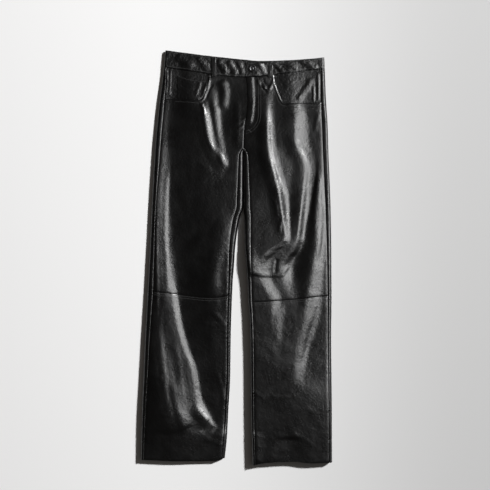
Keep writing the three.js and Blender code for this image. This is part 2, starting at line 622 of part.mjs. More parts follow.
function beltLoop(x) {
  const top = frontTop(x) - 1.5;
  const bottom = waistSeam(x) - LOOP.over;
  const shares = [0, 0.12, 0.35, 0.6, 0.8, 1];
  const across = [-1, -0.8, 0.8, 1].map((s) => (s * LOOP.width) / 2);
  const rows = shares.map((share) => {
    const y = lerp(top, bottom, share);
    return across.map((d, i) => {
      const round = i === 0 || i === 3 ? 0.35 : 0;
      const z = bandFace(x + d, y) + GAP + LOOP.bow * Math.sin(Math.PI * share) + LOOP.thickness - round;
      return new THREE.Vector3(x + d, y, z);
    });
  });
  const under = rows.map((row) => row.map((p, i) => {
    const round = i === 0 || i === 3 ? 0.35 : 0;
    return new THREE.Vector3(p.x, p.y, p.z - LOOP.thickness + 2 * round);
  }));
  return wall(rows, under);
}

// The waist button: a disc with a raised rim round a shallow dish
const BUTTON = { x: 41.5, y: 483, radius: 8.5, height: 3 };

function button() {
  const { radius, height } = BUTTON;
  const profile = [
    [0, 0], [radius * 0.8, 0], [radius, height * 0.35], [radius, height * 0.7],
    [radius * 0.9, height], [radius * 0.74, height], [radius * 0.62, height * 0.68], [0, height * 0.6],
  ];
  const turned = new THREE.LatheGeometry(profile.map(([r, z]) => new THREE.Vector2(r, z)), 32);
  return turned.rotateX(Math.PI / 2);
}

const BLACK_LEATHER = new THREE.MeshStandardMaterial({ color: 0x0c0c0d, roughness: 0.36, metalness: 0 });
const BAND_LEATHER = new THREE.MeshStandardMaterial({ color: 0x111112, roughness: 0.38, metalness: 0 });
const FACING_LEATHER = new THREE.MeshStandardMaterial({ color: 0x0e0e0f, roughness: 0.4, metalness: 0 });
const BLACK_METAL = new THREE.MeshStandardMaterial({ color: 0x151516, roughness: 0.28, metalness: 0.8 });

const trousers = new THREE.Group();

function add(name, geometry, material) {
  const mesh = new THREE.Mesh(geometry, material);
  mesh.name = name;
  trousers.add(mesh);
  return mesh;
}

const OPENINGS = { right: RIGHT_OPENING, left: LEFT_OPENING };
for (const [name, leg] of Object.entries(LEGS)) {
  add(`${name}_front_upper`, openedFront(leg, OPENINGS[name]), BLACK_LEATHER);
  add(`${name}_front_lower`, front(leg, LOWER_ROWS, true), BLACK_LEATHER);
  add(`${name}_back_upper`, back(leg, UPPER_ROWS, false), BLACK_LEATHER);
  add(`${name}_back_lower`, back(leg, LOWER_ROWS, true), BLACK_LEATHER);
  add(`${name}_pocket_facing`, pocketFacing(leg, OPENINGS[name]), FACING_LEATHER);
}
add("coin_pocket", coinPocket(LEGS.right), FACING_LEATHER);
add("waistband", waistband(), BAND_LEATHER);
add("right_belt_loop", beltLoop(-58), BLACK_LEATHER);
add("left_belt_loop", beltLoop(87), BLACK_LEATHER);
add("waist_button", button(), BLACK_METAL).position.set(
  BUTTON.x,
  BUTTON.y,
  bandFace(BUTTON.x, BUTTON.y) + GAP,
);

// The origin is the middle of the footprint, on the surface.
const bounds = new THREE.Box3().setFromObject(trousers);
const middle = bounds.getCenter(new THREE.Vector3());
trousers.position.set(-middle.x, -middle.y, -bounds.min.z);

export default trousers;
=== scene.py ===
import bpy
import numpy as np
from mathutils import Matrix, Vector


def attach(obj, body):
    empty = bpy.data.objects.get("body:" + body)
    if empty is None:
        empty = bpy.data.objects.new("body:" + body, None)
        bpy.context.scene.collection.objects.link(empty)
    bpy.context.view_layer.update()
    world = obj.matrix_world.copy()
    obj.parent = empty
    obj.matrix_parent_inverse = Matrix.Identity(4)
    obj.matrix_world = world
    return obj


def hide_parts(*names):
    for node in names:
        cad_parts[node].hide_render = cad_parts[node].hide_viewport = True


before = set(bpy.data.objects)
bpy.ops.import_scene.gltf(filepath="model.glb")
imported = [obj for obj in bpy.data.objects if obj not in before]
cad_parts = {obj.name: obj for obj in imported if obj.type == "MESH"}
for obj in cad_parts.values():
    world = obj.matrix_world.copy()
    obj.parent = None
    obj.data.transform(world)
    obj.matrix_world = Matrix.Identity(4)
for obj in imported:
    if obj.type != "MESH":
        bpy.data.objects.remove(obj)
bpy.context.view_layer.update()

# Leather and seams
WALL = 1.4
BAND_WALL = 2.4
FACING_WALL = 1.2
COIN_WALL = 1.0
COIN_DEPTH = 0.4  # the coin pocket's face under the front panel's
SOLID_WALL = 1.6  # the panels' wall in the solids
GAP = 0.3
EDGE_RADIUS = 7.0  # how far the roll at a side edge reaches in
BAND_RISE = 0.6
BAND_LAP_RISE = 2.9  # the buttoned end of the waistband over the end under it
HEM_DEPTH = 38.0
CELL = 2.0  # spacing of the shells' points
SEAM_DIP, SEAM_REACH = 0.35, 7.0
SHARP_ANGLE = 50.0  # degrees between faces, past which an edge isn't shaded smooth
FOLD_FADE = 0.22  # share of a fold's length in which it rises from or sinks into the surface
LIP = {"rise": 0.45, "from_edge": 3.5, "spread": 2.5}  # the turned edge of a pocket opening
POCKET_SEWING = 7.0  # from the opening
POCKET_GROOVE = {"depth": 0.3, "spread": 1.6}
OPENING_END_Y, OPENING_BLEND = 375.0, 10.0
SHIFT = (-0.11, -0.08)  # centres the part on its footprint

# Lines across the garment
WAIST_Y, YOKE_Y, CROTCH_Y, FORK_END_Y, KNEE_Y, HEM_Y = 462.0, 400.0, 279.0, 262.0, -100.0, -520.0
CENTRE_BACK_X = 17.85
KNEE_REACH, HEM_REACH = 45.0, 60.0

# The fly
FLY_UNDERLAP, FLY_LIFTED, FLY_BLEND = 10.0, 12.0, 10.0
FLY_LAP_END_Y, FLY_STOP_Y, FLY_FLAT_Y = 362.0, 350.0, 335.0

# Edges, seams and the height at each edge of the garment at each section, from the waist to the hems
SECTION_COLUMNS = ["y", "rightOut", "rightInset", "rightIn", "leftIn", "leftInset", "leftOut",
                   "rightOutLoft", "rightInLoft", "leftInLoft", "leftOutLoft"]
SECTIONS = [
    (531, -182.1, 4, 17.6, 18.1, 9.5, 224.8, 12, 12, 12, 12),
    (460, -189.3, 9.1, 17.6, 18.1, 11, 227.3, 12, 12, 12, 12),
    (400, -197.4, 13, 17.6, 18.1, 13.5, 230, 12.3, 12.3, 12.3, 11),
    (340, -203.8, 14.4, 17.6, 18.1, 14.9, 233.9, 12.6, 12.6, 12.6, 10),
    (280, -208.7, 14.3, 17.6, 18.1, 14.4, 235.7, 13, 13, 13, 9.5),
    (134, -217, 11.4, 17.6, 18.1, 12.9, 241.4, 14, 17, 20, 9),
    (100, -218.5, 11, 8.2, 20.5, 12.6, 242.2, 14.3, 17.5, 22, 9),
    (20, -222, 11.8, -3.5, 21.5, 11, 243.3, 15, 17.5, 25.5, 10),
    (-12, -223.8, 12.6, -5.5, 24, 10.8, 243.5, 15.1, 17.2, 29.3, 10.3),
    (-50, -225.7, 13.4, -8.5, 27, 10.5, 243.7, 15.3, 16.6, 26, 10.8),
    (-90, -227.8, 14.3, -11, 29.5, 10.2, 244, 15.5, 15.5, 24.5, 11),
    (-210, -234.4, 12.4, -14.5, 35, 9, 242.8, 16.3, 11, 24.5, 13.5),
    (-310, -238.6, 11.5, -16, 36, 8.8, 243.8, 17.5, 9.3, 24, 18.5),
    (-390, -242.2, 10.7, -20.5, 36.5, 8.6, 244.5, 18.5, 8.8, 24, 22),
    (-430, -243.2, 10, -22.5, 37.2, 8.6, 244.6, 19, 8.8, 24, 23),
    (-465, -244, 9.4, -24.5, 38.5, 8.5, 244.7, 19, 13, 24, 23),
    (-531, -244.9, 8.5, -31, 40.5, 8.5, 244.9, 18.5, 15, 24, 23),
]
WAIST_SEAM = [(-195, 488), (-160, 483.5), (-86, 472.3), (-48, 466), (22, 462), (80, 466.4),
              (167, 476.7), (232, 486)]
FRONT_TOP = [(-190, 531), (-85, 517), (24, 501.5), (60, 497.5), (98, 493.5), (160, 503), (228, 513)]
BACK_TOP = [(-190, 531), (-85, 519), (24, 507.5), (60, 504.5), (124, 506), (228, 513)]
RIGHT_KNEE = [(-235, -85), (-213, -87), (-55, -102.4), (-16, -96)]
LEFT_KNEE = [(30, -114), (111, -109.6), (219, -99.3), (245, -98)]
RIGHT_HEM = [(-246, -517), (-134, -521), (-55, -521), (-33, -513.3)]
LEFT_HEM = [(38, -531.2), (78, -524), (147, -521), (193, -525.3), (245, -522.8)]
CENTRE_FRONT = [(279, 18), (300, 18.4), (339, 20.7), (365, 25.8), (403, 28.3), (462, 25.3), (505, 23.2)]
INSEAM_INSET = [(-531, 8.5), (-90, 10), (20, 15), (134, 16.5), (200, 14), (262, 11), (270, 8), (276, 4),
                (279, 2)]
BACK_SEAM_RISE = [(279, 10.7), (281.5, 9.6), (285, 8), (293, 4), (305, 0), (330, 0)]

# Long rolls and hollows down each leg, in order across it. Each row: y, x, height over the surface.
RIGHT_ROLLS = [
    [(470, -180, 12), (390, -190, 12.8), (326, -196, 13.3), (237, -200, 14.5), (147, -203, 15.5),
     (45, -205, 16.5), (-58, -206, 17), (-160, -208, 18), (-237, -207, 20.5), (-314, -200, 23.5),
     (-365, -190, 25), (-416, -178, 26.5), (-436, -176, 25), (-455, -176, 21.5), (-520, -178, 19)],
    [(470, -150, 12), (390, -165, 11), (326, -172, 11.2), (237, -168, 10), (147, -168, 9.5),
     (45, -160, 9.5), (-58, -146, 8.5), (-160, -132, 8.6), (-237, -112, 8.3), (-314, -84, 8.2),
     (-365, -74, 8.2), (-416, -54, 8.2), (-436, -54, 9.7), (-455, -58, 13.5), (-520, -64, 15)],
    [(470, -115, 14), (390, -104, 16), (326, -96, 16.5), (237, -72, 14.5), (147, -58, 16), (45, -50, 18),
     (-58, -54, 17.5), (-160, -54, 13.8), (-237, -54, 10), (-314, -48, 8.8), (-365, -50, 8.6),
     (-416, -41, 8.6), (-436, -41, 9.9), (-455, -43, 13.5), (-520, -50, 15)],
    [(470, -20, 12.5), (390, -27, 9.5), (326, -37, 9.8), (237, -32, 12.5), (147, -20, 16.5), (45, -25, 18),
     (-58, -32, 16.8), (-160, -34, 13.2), (-237, -34, 9.8), (-314, -34, 8.8), (-365, -35, 8.7),
     (-416, -31, 8.7), (-436, -31, 9.9), (-455, -33, 13.3), (-520, -40, 15)],
]
LEFT_ROLLS = [
    [(470, 70, 13), (390, 74, 15), (352, 76, 16.5), (300, 78, 18), (237, 86, 20), (147, 108, 20.5),
     (60, 121, 22.5), (45, 118, 23.5), (30, 96, 24.5), (15, 76, 26), (0, 62, 27), (-25, 54, 26.5),
     (-45, 54, 25), (-70, 64, 24), (-110, 84, 23.5), (-160, 88, 23.5), (-237, 92, 23.5), (-350, 96, 23.5),
     (-520, 96, 23.5)],
    [(470, 100, 12), (390, 100, 13), (352, 101, 13.5), (300, 104, 14.5), (237, 116, 15), (147, 138, 13.5),
     (60, 141, 18), (45, 139, 19), (30, 124, 20.5), (15, 104, 20.5), (0, 94, 20), (-25, 90, 19.5),
     (-45, 92, 18.5), (-70, 100, 18), (-110, 118, 18), (-160, 118, 20), (-237, 112, 22.5),
     (-350, 112, 23.5), (-520, 115, 23.5)],
    [(470, 135, 14), (390, 141, 14.5), (352, 145, 15), (300, 146, 15), (272, 155, 13), (237, 170, 11.5),
     (147, 165, 13.5), (60, 155, 17.5), (45, 153, 18), (30, 149, 18), (15, 141, 18), (0, 126, 18.5),
     (-25, 112, 18.5), (-45, 110, 18), (-70, 116, 17.3), (-110, 136, 17.5), (-160, 132, 19.7),
     (-237, 124, 22.3), (-350, 122, 23.5), (-520, 130, 23.5)],
    [(470, 180, 12), (390, 180, 10.5), (352, 186, 8.5), (300, 190, 8.4), (237, 203, 8.3), (147, 192, 9.2),
     (60, 177, 12.5), (45, 176, 13), (30, 170, 12.5), (15, 162, 12), (0, 152, 11), (-25, 147, 10.5),
     (-45, 148, 11.5), (-70, 150, 14), (-110, 156, 17), (-160, 150, 19.7), (-237, 136, 22),
     (-350, 132, 23.5), (-520, 145, 23.6)],
    [(470, 200, 12), (390, 202, 10.5), (352, 205, 9), (300, 206, 8.5), (237, 212, 9), (147, 203, 12.5),
     (60, 201, 15), (45, 200, 15.2), (19, 198, 15.5), (0, 195, 15.8), (-32, 191, 16), (-58, 186, 16.5),
     (-110, 176, 18), (-160, 168, 19.5), (-237, 150, 21.5), (-350, 142, 23.4), (-520, 160, 23.7)],
    [(470, 214, 12), (390, 218, 10.5), (352, 222, 9.2), (300, 224, 8.8), (237, 228, 8.4), (147, 230, 8.6),
     (60, 230, 9.4), (45, 230, 9.6), (19, 230, 10), (0, 229, 10.2), (-32, 228, 10.4), (-58, 226, 10.6),
     (-110, 224, 11), (-160, 214, 11.5), (-237, 190, 14), (-300, 178, 19), (-350, 172, 23),
     (-520, 200, 23.4)],
]

# Large folds. Each row: path, rise, width of the flank on the wearer's left of a downward path, and
# width of the other flank.
FOLDS = [
    ([(-85, 405), (-75, 340), (-62, 285), (-42, 250), (-26, 222)], 3, 17, 30),
    ([(-65, 440), (-55, 375), (-47, 310), (-38, 262), (-24, 230)], 2.2, 17, 17),
    ([(-40, 455), (-30, 425), (-36, 375)], 2.4, 18, 18),
    ([(-24, 140), (-40, 45), (-56, -20), (-68, -110)], 1.8, 26, 40),
    ([(-178, 30), (-175, -58), (-165, -109), (-157, -160), (-141, -224), (-118, -288), (-104, -365),
      (-80, -412), (-72, -422), (-62, -432)], 3, 20, 45),
    ([(74, 420), (76, 350), (79, 275), (88, 228), (105, 172), (113, 116), (126, 40)], 3, 17, 30),
    ([(146, 384), (145, 315), (152, 284), (163, 262), (171, 240), (173, 215), (169, 180), (160, 110),
      (154, 52), (142, 4)], 2.2, 17, 34),
    ([(46, -440), (44, -528)], 1.5, 30, 20),
    ([(140, -455), (140, -528)], -2, 55, 55),
]

# Finer creases and wrinkles, in the folds' columns. A rise below zero is a trough.
RIGHT_CREASES = [
    ([(-170, 262), (-177, 200), (-180, 140), (-182, 60), (-179, 0), (-176, -60), (-178, -110)], 0.8, 8, 12),
    ([(-200, 250), (-206, 140), (-206, 19), (-203, -80), (-204, -170)], 0.8, 9, 8),
    ([(-196, -120), (-194, -210), (-186, -290), (-176, -360), (-160, -420)], 0.7, 12, 16),
    ([(-160, -215), (-148, -262), (-142, -318), (-138, -372)], 0.5, 12, 16),
    ([(-160, -310), (-150, -370), (-138, -415), (-128, -440)], 1.9, 36, 22),
    ([(-110, -372), (-88, -402), (-66, -426), (-50, -440)], 1.6, 12, 26),
    ([(4, 410), (4, 340), (2, 285)], 0.8, 11, 16),
    ([(-88, 398), (-79, 345), (-69, 295), (-48, 262)], 0.8, 8, 10),
    ([(-72, -114), (-56, -108), (-38, -108), (-19, -101)], -0.6, 6, 6),
    ([(-66, -140), (-48, -150), (-36, -164), (-24, -182)], 0.5, 9, 12),
    ([(-92, -164), (-66, -172), (-34, -170)], 0.4, 9, 9),
    ([(-50, -290), (-38, -335), (-30, -372)], 0.5, 10, 12),
    ([(-84, -462), (-58, -470), (-34, -482)], 0.5, 10, 10),
    ([(-200, -398), (-176, -402), (-150, -396), (-130, -402)], 0.35, 10, 10),
    ([(-226, -290), (-208, -302), (-186, -310)], 0.4, 10, 10),
    ([(-236, -140), (-220, -146), (-206, -140)], 0.4, 8, 8),
    ([(-86, 412), (-78, 436), (-66, 457)], 1.2, 6, 6),
    ([(-80, 403), (-71, 425), (-60, 446)], -0.8, 5, 5),
    ([(-92, 398), (-84, 380), (-80, 360)], 0.8, 6, 6),
    ([(-105, 412), (-98, 432), (-92, 452)], 0.8, 6, 7),
    ([(-178, 486), (-177, 450), (-180, 412)], 1.3, 5, 8),
    ([(-168, 484), (-170, 450), (-172, 412)], 1.0, 4, 5),
    ([(22, 345), (14, 335), (2, 330)], 0.8, 6, 6),
    ([(24, 357), (12, 350), (0, 352)], 0.7, 6, 6),
    ([(-120, 380), (-100, 374), (-84, 366)], 0.35, 8, 8),
    ([(-30, 222), (-44, 214), (-60, 216)], 0.35, 8, 8),
    ([(-98, 250), (-84, 232), (-62, 226)], 0.3, 10, 10),
]
LEFT_CREASES = [
    ([(104, -2), (101, -18), (99, -44)], -0.8, 7, 7),
    ([(30, -38), (56, -43), (84, -46), (118, -44)], 0.9, 14, 7),
    ([(26, 34), (32, 4), (37, -26), (40, -50)], 1.4, 28, 8),
    ([(118, 36), (104, 20), (88, 8), (70, 0)], 0.7, 9, 9),
    ([(136, -20), (124, -34), (116, -52)], 0.7, 8, 9),
    ([(214, 229), (214, 147), (218, 109), (214, 45), (203, -11)], 0.8, 9, 14),
    ([(208, -83), (198, -134), (180, -186), (168, -237), (158, -270)], 0.6, 10, 16),
    ([(84, -350), (110, -356), (140, -354), (160, -348)], 0.35, 9, 9),
    ([(42, -338), (56, -350), (74, -356)], 0.4, 9, 9),
    ([(140, -446), (166, -462), (200, -478)], 0.4, 10, 10),
    ([(176, -380), (192, -392), (214, -398)], 0.35, 9, 9),
    ([(36, -140), (40, -180), (42, -228)], 0.7, 10, 8),
    ([(116, -112), (110, -160), (104, -230)], 0.5, 14, 16),
    ([(96, 150), (102, 128), (104, 104)], 0.5, 7, 8),
    ([(120, 104), (112, 84), (110, 62)], 0.6, 7, 8),
    ([(88, 246), (98, 216), (102, 196)], 0.4, 8, 8),
    ([(54, 456), (62, 440), (78, 432)], 1.2, 7, 6),
    ([(60, 447), (70, 430), (80, 422)], -0.9, 5, 5),
    ([(94, 456), (90, 440), (82, 428)], 1.0, 6, 6),
    ([(68, 458), (72, 446), (84, 436)], -0.6, 4, 4),
    ([(128, 390), (145, 388), (164, 386)], 1.1, 6, 6),
    ([(196, 462), (175, 429), (155, 400)], 1.6, 14, 10),
    ([(209, 475), (210, 440), (210, 398)], 1.3, 5, 6),
    ([(198, 442), (198, 420), (198, 398)], 1.0, 4, 5),
    ([(214, 372), (206, 350), (200, 322)], 0.5, 9, 9),
]
BAND_CREASES = [
    ([(-50, 504), (-36, 490), (-22, 472)], 2.2, 16, 14),
    ([(-24, 503), (-10, 486), (0, 466)], 2.2, 14, 12),
    ([(2, 504), (10, 488), (17, 468)], 1.9, 12, 10),
    ([(-154, 518), (-134, 502), (-108, 484)], 2.0, 20, 16),
    ([(-100, 514), (-86, 496), (-72, 478)], 1.2, 12, 12),
    ([(56, 500), (66, 484), (74, 466)], 2.0, 12, 10),
    ([(98, 496), (110, 484), (120, 472)], 1.4, 10, 8),
    ([(128, 500), (144, 490), (156, 476)], 0.9, 12, 12),
    ([(164, 508), (184, 494), (208, 478)], 2.2, 16, 14),
]

# Pocket openings, down from the waist seam and across to the side seam, and the coin pocket's outline
RIGHT_OPENING = [(-71.5, 470), (-73, 450), (-76.5, 431), (-83, 415), (-88.5, 405.5), (-95, 402),
                 (-125, 404.5), (-156, 406.5), (-205, 406)]
LEFT_OPENING = [(95, 472), (99, 445), (106.5, 424), (114, 406), (119, 397.5), (127, 394.5), (170, 396),
                (245, 397.5)]
OPENINGS = {"right": RIGHT_OPENING, "left": LEFT_OPENING}
FACING_LAP = 14.0
COIN_OUTLINE = [(-152, 470), (-132, 461), (-110, 456), (-73.2, 453), (-73.4, 450), (-76.9, 431.2),
                (-83.3, 415.2), (-88.8, 405.9), (-95.2, 402.4), (-125, 404.9), (-152, 406.6)]

# Sewing
FLY_SEWING = [(59.3, 460), (59.3, 400), (58.6, 360), (54, 344), (46, 332), (34.7, 323.8), (24, 320)]
BAND_SEWING = 4.0
LOOP_SEWING = 2.5
GROOVE_DEPTH = 0.25  # under the sewing of the waistband and the belt loops
TOP_STITCH = {"pitch": 3.3, "length": 2.6, "width": 0.5}
TACK_STITCH = {"pitch": 0.7, "length": 2.4, "width": 0.35}
THREAD_HEIGHT = 0.35


def lerp(a, b, t):
    return a + (b - a) * t


def smooth(t):
    t = np.clip(t, 0.0, 1.0)
    return t * t * (3 - 2 * t)


def through(x, xs, zs):
    """The value at x of a curve through points that rise in x. It never swings past a point."""
    secants = [(zs[i + 1] - zs[i]) / (xs[i + 1] - xs[i]) for i in range(len(xs) - 1)]
    slopes = []
    for i in range(len(xs)):
        before, after = secants[max(0, i - 1)], secants[min(len(secants) - 1, i)]
        one_way = before * after > 0
        slopes.append(np.where(one_way, 2 * before * after / np.where(one_way, before + after, 1.0), 0.0))
    out = np.where(x <= xs[0], zs[0], zs[-1])
    for i in range(len(xs) - 1):
        span = xs[i + 1] - xs[i]
        s = (x - xs[i]) / span
        bump = s * (1 - s) * span * (slopes[i] * (1 - s) - slopes[i + 1] * s)
        value = lerp(zs[i], zs[i + 1], s * s * (3 - 2 * s)) + bump
        out = np.where((x > xs[i]) & (x <= xs[i + 1]), value, out)
    return out


def curve(points):
    """A smooth function through points (t, value)."""
    ordered = sorted(points)
    ts = [np.float64(p[0]) for p in ordered]
    values = [np.float64(p[1]) for p in ordered]
    return lambda t: through(np.asarray(t, float), ts, values)


def column(rows, index):
    return curve([(row[0], row[index]) for row in rows])


at = {name: column(SECTIONS, index) for index, name in enumerate(SECTION_COLUMNS)}
waist_seam, front_top, back_top = curve(WAIST_SEAM), curve(FRONT_TOP), curve(BACK_TOP)
centre_front, inseam_inset = curve(CENTRE_FRONT), curve(INSEAM_INSET)
back_seam_rise = curve(BACK_SEAM_RISE)
RIGHT = {"name": "right", "side": -1, "out": at["rightOut"], "inset": at["rightInset"],
         "inner": at["rightIn"], "out_loft": at["rightOutLoft"], "in_loft": at["rightInLoft"],
         "knee": curve(RIGHT_KNEE), "hem": curve(RIGHT_HEM)}
LEFT = {"name": "left", "side": 1, "out": at["leftOut"], "inset": at["leftInset"],
        "inner": at["leftIn"], "out_loft": at["leftOutLoft"], "in_loft": at["leftInLoft"],
        "knee": curve(LEFT_KNEE), "hem": curve(LEFT_HEM)}


def side_seam(leg, y):
    return leg["out"](y) - leg["side"] * leg["inset"](y)


def inseam(leg, y):
    return leg["inner"](y) + leg["side"] * inseam_inset(y)


# The garment's form


def across(table, x, y, start, end):
    """Height of a curve across a leg: through its rolls, from the height at one edge to the other's."""
    xs = [column(rows, 1)(y) for rows in table]
    heights = [column(rows, 2)(y) for rows in table]
    return through(x, [start[0], *xs, end[0]], [start[1], *heights, end[1]])


def roll_height(x, y):
    centre = np.full_like(y, CENTRE_BACK_X)
    right_out, left_out = at["rightOut"](y), at["leftOut"](y)
    right_in, left_in = np.minimum(centre, at["rightIn"](y)), np.maximum(centre, at["leftIn"](y))
    right = across(RIGHT_ROLLS, x, y, (right_out, at["rightOutLoft"](y)), (right_in, at["rightInLoft"](y)))
    left = across(LEFT_ROLLS, x, y, (left_in, at["leftInLoft"](y)), (left_out, at["leftOutLoft"](y)))
    return np.where(x < CENTRE_BACK_X, right, left)


def along_path(path, x, y):
    """Distance to a path, share of the way along it, and which side of it each point lies on."""
    distance, share, side = np.full(x.shape, 1e9), np.zeros(x.shape), np.zeros(x.shape)
    for i, ((ax, ay), (bx, by)) in enumerate(zip(path, path[1:])):
        length = np.hypot(bx - ax, by - ay)
        part = np.clip(((x - ax) * (bx - ax) + (y - ay) * (by - ay)) / length**2, 0, 1)
        dx, dy = x - lerp(ax, bx, part), y - lerp(ay, by, part)
        here = np.hypot(dx, dy)
        near = here < distance
        distance = np.where(near, here, distance)
        share = np.where(near, (i + part) / (len(path) - 1), share)
        side = np.where(near, dx * (ay - by) + dy * (bx - ax), side)
    return distance, share, side


def rounded(path, steps=6):
    """A path with its corners rounded."""
    points = np.array([path[0], *path, path[-1]], float)
    t = np.linspace(0, 1, steps, endpoint=False)[:, None]
    out = []
    for a, b, c, d in zip(points, points[1:], points[2:], points[3:]):
        out.append(b + 0.5 * t * (c - a + t * (2 * a - 5 * b + 4 * c - d + t * (3 * (b - c) + d - a))))
    return [tuple(p) for p in np.vstack([*out, points[-1:]])]


def fold_height(fold, x, y):
    """A rounded ridge or trough across a fold's path, faded at both ends."""
    path, rise, left, right = fold
    reach = max(left, right)
    xs, ys = [p[0] for p in path], [p[1] for p in path]
    near = (x > min(xs) - reach) & (x < max(xs) + reach) & (y > min(ys) - reach) & (y < max(ys) + reach)
    height = np.zeros(x.shape)
    distance, share, side = along_path(rounded(path), x[near], y[near])
    width = np.where(side >= 0, left, right)
    ends = smooth(share / FOLD_FADE) * smooth((1 - share) / FOLD_FADE)
    ridge = rise * ends * (1 + np.cos(np.pi * distance / width)) / 2
    height[near] = np.where(distance < width, ridge, 0.0)
    return height


def summed(table, x, y):
    return sum(fold_height(fold, x, y) for fold in table)


def edge_roll(distance):
    inward = 1 - np.clip(distance, 0, EDGE_RADIUS) / EDGE_RADIUS
    return np.sqrt(np.clip(1 - inward**2, 0, 1))


def top_face(x, y):
    """Height of the garment's upper face over the surface that it lies on."""
    height = roll_height(x, y)
    outer = edge_roll(np.minimum(x - at["rightOut"](y), at["leftOut"](y) - x))
    between = np.where(x < CENTRE_BACK_X, at["rightIn"](y) - x, x - at["leftIn"](y))
    inner = lerp(1, edge_roll(between), smooth((CROTCH_Y - y) / (CROTCH_Y - FORK_END_Y)))
    return height / 2 + (height / 2 + summed(FOLDS, x, y)) * outer * inner


# Building a shell


def placed(name, points, polygons, material, nodes=()):
    """A mesh piece that rides on the part, and stands for the named solids."""
    used, index = np.unique(polygons, return_inverse=True)
    metres = (np.asarray(points)[used] + (*SHIFT, 0)) / 1000
    mesh = bpy.data.meshes.new(name)
    mesh.from_pydata(metres.tolist(), [], index.reshape(np.shape(polygons)).tolist())
    mesh.validate()
    mesh.shade_smooth()
    mesh.set_sharp_from_angle(angle=np.radians(SHARP_ANGLE))
    mesh.materials.append(material)
    piece = bpy.data.objects.new(name, mesh)
    bpy.context.scene.collection.objects.link(piece)
    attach(piece, "root")
    if nodes:
        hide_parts(*nodes)
    return piece


def shell(name, top, under, faces, material, nodes=()):
    """A closed shell from its two faces' points and the upper face's quads."""
    top, under = top.reshape(-1, 3), under.reshape(-1, 3)
    edges = np.concatenate([faces[:, [i, (i + 1) % 4]] for i in range(4)])
    keys = np.sort(edges, axis=1)
    _, first, uses = np.unique(keys, axis=0, return_index=True, return_counts=True)
    rim = edges[first[uses == 1]]
    sides = np.column_stack([rim[:, 1], rim[:, 0], rim[:, 0] + len(top), rim[:, 1] + len(top)])
    quads = np.vstack([faces, faces[:, ::-1] + len(top), sides])
    return placed(name, np.vstack([top, under]), quads, material, nodes)


def grid_faces(rows, columns, flip):
    index = np.arange(rows * columns).reshape(rows, columns)
    quads = np.dstack([index[:-1, :-1], index[:-1, 1:], index[1:, 1:], index[1:, :-1]]).reshape(-1, 4)
    return quads[:, ::-1] if flip else quads


def spaced(start, end, step=CELL):
    """Even steps from start to end, with closer ones at both ends for the rounded edges."""
    length = abs(end - start)
    near = np.array([0.3, 0.8, 1.5])
    even = np.linspace(0, length, int(round(length / step)) + 1)
    return start + np.sign(end - start) * np.unique(np.concatenate([even, near, length - near]))


def snapped(x, y, area):
    """Moves points near an area's edge onto it. Returns them, and which points lie inside the area."""
    path = [*area, area[0]]
    inside = np.zeros(x.shape, bool)
    best, nx, ny = np.full(x.shape, 1e9), x, y
    for (ax, ay), (bx, by) in zip(path, path[1:]):
        if ay != by:
            crosses = (ay > y) != (by > y)
            inside ^= crosses & (x < ax + (y - ay) / (by - ay) * (bx - ax))
        length = (bx - ax) ** 2 + (by - ay) ** 2
        part = np.clip(((x - ax) * (bx - ax) + (y - ay) * (by - ay)) / length, 0, 1)
        px, py = lerp(ax, bx, part), lerp(ay, by, part)
        distance = np.hypot(x - px, y - py)
        near = distance < best
        best, nx, ny = np.where(near, distance, best), np.where(near, px, nx), np.where(near, py, ny)
    close = best < CELL * 0.55
    return np.where(close, nx, x), np.where(close, ny, y), inside & ~close


# Finer form: creases, seams and turned edges


def hump(distance, spread):
    """A bell-shaped rise of 1 that dies away over a spread."""
    return np.exp(-((distance / spread) ** 2))


def rounded_edge(distance, drop=0.7, reach=3.0):
    """How far a surface drops at a distance from a cut edge."""
    return drop * (1 - np.sqrt(1 - (1 - np.clip(distance / reach, 0, 1)) ** 2))


def seam_dip(leg, x, y):
    """How far a panel's face drops beside its seams."""
    lines = [
        x - side_seam(leg, y),
        x - front_edge(leg, y),
        y - leg["knee"](x),
        y - waist_seam(x),
        y - leg["hem"](x),
    ]
    dip = np.zeros_like(x)
    for distance in map(np.abs, lines):
        dip = dip + rounded_edge(distance) + SEAM_DIP * (1 - smooth(distance / SEAM_REACH))
    return dip


def fly_lift(leg, x, y):
    """The left front rides up over the right front's underlap beside the fly."""
    if leg["side"] < 0:
        return np.zeros_like(x)
    along = np.clip((y - FLY_FLAT_Y) / (FLY_STOP_Y - FLY_FLAT_Y), 0, 1)
    sideways = 1 - smooth((x - centre_front(y) - FLY_LIFTED) / FLY_BLEND)
    return (SOLID_WALL + GAP) * along * sideways


def opening_edge(leg, x, y):
    """The turned edge round a pocket opening: a rounded lip, and a groove under its sewing."""
    distance, _, _ = along_path(OPENINGS[leg["name"]], x, y)
    lip = LIP["rise"] * hump(distance - LIP["from_edge"], LIP["spread"])
    groove = POCKET_GROOVE["depth"] * hump(distance - POCKET_SEWING, POCKET_GROOVE["spread"])
    edge = lip - groove - rounded_edge(distance, 0.6, 2.0)
    return edge * smooth((y - OPENING_END_Y) / OPENING_BLEND)


def creases(leg, x, y):
    return summed(RIGHT_CREASES if leg["side"] < 0 else LEFT_CREASES, x, y)


def front_face(leg, x, y):
    """The finished face of a front panel."""
    z = top_face(x, y) + creases(leg, x, y) + fly_lift(leg, x, y)
    return z - seam_dip(leg, x, y) + opening_edge(leg, x, y)


def under_face(leg, x, y, depth):
    """A face inside a pocket opening, at a depth under the front panel's."""
    return top_face(x, y) + creases(leg, x, y) - depth


# Panels

